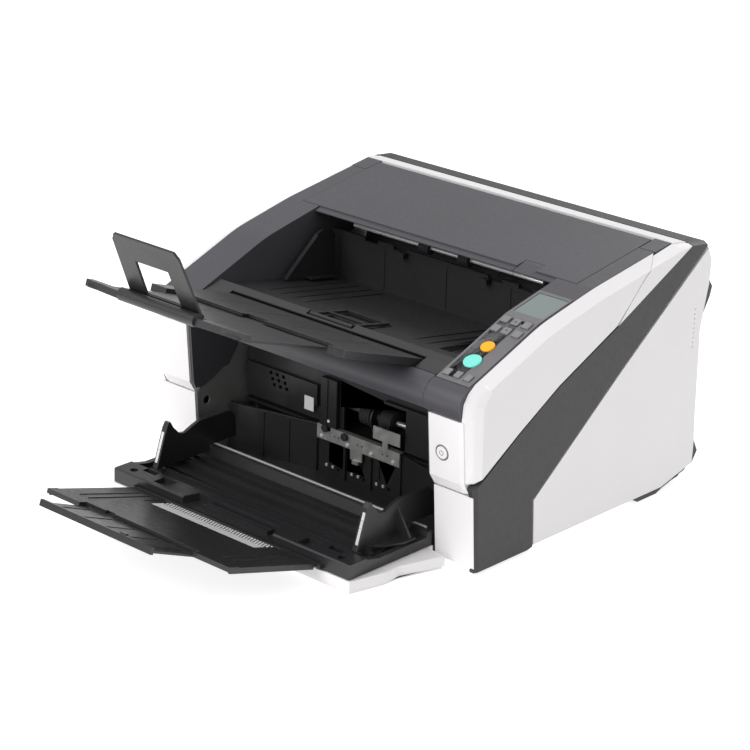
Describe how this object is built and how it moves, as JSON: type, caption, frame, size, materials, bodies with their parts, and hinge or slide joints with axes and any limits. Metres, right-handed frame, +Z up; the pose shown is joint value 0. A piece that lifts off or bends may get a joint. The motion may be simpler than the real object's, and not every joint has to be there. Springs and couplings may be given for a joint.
{
  "type": "document scanner",
  "caption": "Sheet fed document scanner with a lifting upper unit, rising front hopper with side guides and fold-out extension, sloping top stacker with extensions and stopper, and a key panel.",
  "frame": {"origin": "centre of the bounding box in plan, on the surface the scanner stands on", "axes": "+Z up, +X to the right seen from the front, +Y from the hopper in front towards the back of the body"},
  "size_m": [0.432, 0.6448, 0.3278],
  "materials": {
    "white_plastic": "fine textured off-white",
    "charcoal_plastic": "fine textured charcoal",
    "dark_plastic": "fine textured near black",
    "inner_black": "satin black",
    "tray_black": "satin dark grey",
    "panel_grey": "satin grey",
    "key_plastic": "satin light grey",
    "display": "grey-green display window",
    "orange_plastic": "orange",
    "green_plastic": "mint green",
    "zinc_steel": "zinc plated sheet",
    "edge_steel": "bright steel strip",
    "scan_housing": "black housing",
    "supply_metal": "punched case",
    "board_green": "circuit board",
    "motor_metal": "black steel",
    "rubber": "black rubber",
    "roller_rubber": "dark grey rubber on a steel shaft",
    "inlet_black": "black"
  },
  "bodies": {
    "base": {"base_pan": "dark_plastic", "rubber_feet": "rubber", "left_side_band": "dark_plastic", "right_side_band": "dark_plastic", "rear_top_bar": "dark_plastic", "rear_collar": "white_plastic", "left_rear_panel": "white_plastic", "right_rear_panel": "white_plastic", "rear_cover": "dark_plastic", "left_lower_pillar": "white_plastic", "right_lower_pillar": "white_plastic", "hopper_base": "white_plastic", "left_side_frame": "zinc_steel", "right_side_frame": "zinc_steel", "bay_wall": "inner_black", "guide_bracket": "zinc_steel", "hinge_covers": "charcoal_plastic", "lower_scan_unit": "scan_housing", "power_supply": "supply_metal", "main_board": "board_green", "power_inlet": "inlet_black", "feed_motor": "motor_metal"},
    "upper_unit": {"left_upper_panel": "white_plastic", "right_upper_panel": "white_plastic", "left_trim": "charcoal_plastic", "right_trim": "charcoal_plastic", "front_bar": "charcoal_plastic", "top_cover": "charcoal_plastic", "stacker_tray": "tray_black", "operator_panel": "panel_grey", "panel_screen": "display", "upper_scan_unit": "scan_housing", "pick_cover": "inner_black"},
    "hopper": {"hopper_table": "tray_black", "paper_edge": "edge_steel"},
    "menu_key_body": {"menu_key": "key_plastic"},
    "up_key_body": {"up_key": "key_plastic"},
    "cancel_key_body": {"cancel_key": "key_plastic"},
    "function_key_body": {"function_key": "key_plastic"},
    "down_key_body": {"down_key": "key_plastic"},
    "enter_key_body": {"enter_key": "key_plastic"},
    "feed_key_body": {"feed_key": "key_plastic"},
    "eject_key_body": {"eject_key": "key_plastic"},
    "rise_key_body": {"rise_key": "key_plastic"},
    "stop_button_body": {"stop_button": "orange_plastic"},
    "scan_button_body": {"scan_button": "green_plastic"},
    "power_button_body": {"power_button": "white_plastic"},
    "pick_roller_body": {"pick_roller": "roller_rubber"},
    "exit_roller_body": {"exit_roller": "roller_rubber"},
    "release_latch_body": {"release_latch": "charcoal_plastic"},
    "stacker_extension_1_body": {"stacker_extension_1": "tray_black"},
    "stacker_extension_2_body": {"stacker_extension_2": "tray_black"},
    "stacker_stopper_body": {"stacker_stopper": "tray_black"},
    "left_stack_guide_body": {"left_stack_guide": "tray_black"},
    "right_stack_guide_body": {"right_stack_guide": "tray_black"},
    "stack_arm_body": {"stack_arm": "tray_black"},
    "left_hopper_guide_body": {"left_hopper_guide": "tray_black"},
    "right_hopper_guide_body": {"right_hopper_guide": "tray_black"},
    "hopper_extension_1_body": {"hopper_extension_1": "tray_black"},
    "hopper_extension_2_body": {"hopper_extension_2": "tray_black"}
  },
  "joints": [
    {"name": "upper_unit_hinge", "type": "hinge", "parent": "base", "child": "upper_unit", "pos_m": [0, 0.25137, 0.2545], "axis": [-1, 0, 0], "range_deg": [0, 30]},
    {"name": "hopper_lift", "type": "slide", "parent": "base", "child": "hopper", "axis": [0, 0, 1], "range_m": [0, 0.028]},
    {"name": "left_guide_slide", "type": "slide", "parent": "hopper", "child": "left_hopper_guide_body", "axis": [-1, 0, 0], "range_m": [-0.105, 0.013]},
    {"name": "right_guide_slide", "type": "slide", "parent": "hopper", "child": "right_hopper_guide_body", "axis": [1, 0, 0], "range_m": [-0.105, 0.013]},
    {"name": "hopper_extension_1_hinge", "type": "hinge", "parent": "hopper", "child": "hopper_extension_1_body", "pos_m": [0, -0.15493, 0.0193], "axis": [-1, 0, 0], "range_deg": [0, 72]},
    {"name": "hopper_extension_2_slide", "type": "slide", "parent": "hopper_extension_1_body", "child": "hopper_extension_2_body", "axis": [0, -0.9311, 0.3649], "range_m": [-0.035, 0]},
    {"name": "stacker_extension_1_slide", "type": "slide", "parent": "upper_unit", "child": "stacker_extension_1_body", "axis": [0, -0.9511, 0.309], "range_m": [-0.035, 0]},
    {"name": "stacker_extension_2_slide", "type": "slide", "parent": "stacker_extension_1_body", "child": "stacker_extension_2_body", "axis": [0, -0.9511, 0.309], "range_m": [-0.09, 0]},
    {"name": "stopper_hinge", "type": "hinge", "parent": "stacker_extension_2_body", "child": "stacker_stopper_body", "pos_m": [0, -0.23206, 0.26218], "axis": [1, 0, 0], "range_deg": [-122, 0]},
    {"name": "left_stack_guide_slide", "type": "slide", "parent": "upper_unit", "child": "left_stack_guide_body", "axis": [1, 0, 0], "range_m": [0, 0.06]},
    {"name": "right_stack_guide_slide", "type": "slide", "parent": "upper_unit", "child": "right_stack_guide_body", "axis": [-1, 0, 0], "range_m": [0, 0.06]},
    {"name": "stack_arm_hinge", "type": "hinge", "parent": "upper_unit", "child": "stack_arm_body", "pos_m": [0, -0.01223, 0.1944], "axis": [1, 0, 0], "range_deg": [0, 60]},
    {"name": "pick_roller_spin", "type": "hinge", "parent": "upper_unit", "child": "pick_roller_body", "pos_m": [0, 0.05337, 0.078], "axis": [1, 0, 0], "continuous": true},
    {"name": "exit_roller_spin", "type": "hinge", "parent": "upper_unit", "child": "exit_roller_body", "pos_m": [0, 0.15637, 0.2268], "axis": [1, 0, 0], "continuous": true},
    {"name": "release_latch_pull", "type": "slide", "parent": "upper_unit", "child": "release_latch_body", "axis": [0, -1, 0], "range_m": [0, 0.003], "stiffness_N_per_m": 1500, "springref_m": -0.001},
    {"name": "power_button_press", "type": "slide", "parent": "upper_unit", "child": "power_button_body", "axis": [0, 0.9962, 0.0874], "range_m": [0, 0.001], "stiffness_N_per_m": 1500, "springref_m": -0.001},
    {"name": "menu_key_press", "type": "slide", "parent": "upper_unit", "child": "menu_key_body", "axis": [0, 0.3665, -0.9304], "range_m": [0, 0.0008], "stiffness_N_per_m": 1500, "springref_m": -0.001},
    {"name": "up_key_press", "type": "slide", "parent": "upper_unit", "child": "up_key_body", "axis": [0, 0.3665, -0.9304], "range_m": [0, 0.0008], "stiffness_N_per_m": 1500, "springref_m": -0.001},
    {"name": "cancel_key_press", "type": "slide", "parent": "upper_unit", "child": "cancel_key_body", "axis": [0, 0.3665, -0.9304], "range_m": [0, 0.0008], "stiffness_N_per_m": 1500, "springref_m": -0.001},
    {"name": "function_key_press", "type": "slide", "parent": "upper_unit", "child": "function_key_body", "axis": [0, 0.3665, -0.9304], "range_m": [0, 0.0008], "stiffness_N_per_m": 1500, "springref_m": -0.001},
    {"name": "down_key_press", "type": "slide", "parent": "upper_unit", "child": "down_key_body", "axis": [0, 0.3665, -0.9304], "range_m": [0, 0.0008], "stiffness_N_per_m": 1500, "springref_m": -0.001},
    {"name": "enter_key_press", "type": "slide", "parent": "upper_unit", "child": "enter_key_body", "axis": [0, 0.3665, -0.9304], "range_m": [0, 0.0008], "stiffness_N_per_m": 1500, "springref_m": -0.001},
    {"name": "feed_key_press", "type": "slide", "parent": "upper_unit", "child": "feed_key_body", "axis": [0, 0.3665, -0.9304], "range_m": [0, 0.0008], "stiffness_N_per_m": 1500, "springref_m": -0.001},
    {"name": "eject_key_press", "type": "slide", "parent": "upper_unit", "child": "eject_key_body", "axis": [0, 0.3665, -0.9304], "range_m": [0, 0.0008], "stiffness_N_per_m": 1500, "springref_m": -0.001},
    {"name": "rise_key_press", "type": "slide", "parent": "upper_unit", "child": "rise_key_body", "axis": [0, 0.3665, -0.9304], "range_m": [0, 0.0008], "stiffness_N_per_m": 1500, "springref_m": -0.001},
    {"name": "stop_button_press", "type": "slide", "parent": "upper_unit", "child": "stop_button_body", "axis": [0, 0.3665, -0.9304], "range_m": [0, 0.0008], "stiffness_N_per_m": 1500, "springref_m": -0.001},
    {"name": "scan_button_press", "type": "slide", "parent": "upper_unit", "child": "scan_button_body", "axis": [0, 0.3665, -0.9304], "range_m": [0, 0.0008], "stiffness_N_per_m": 1500, "springref_m": -0.001}
  ]
}
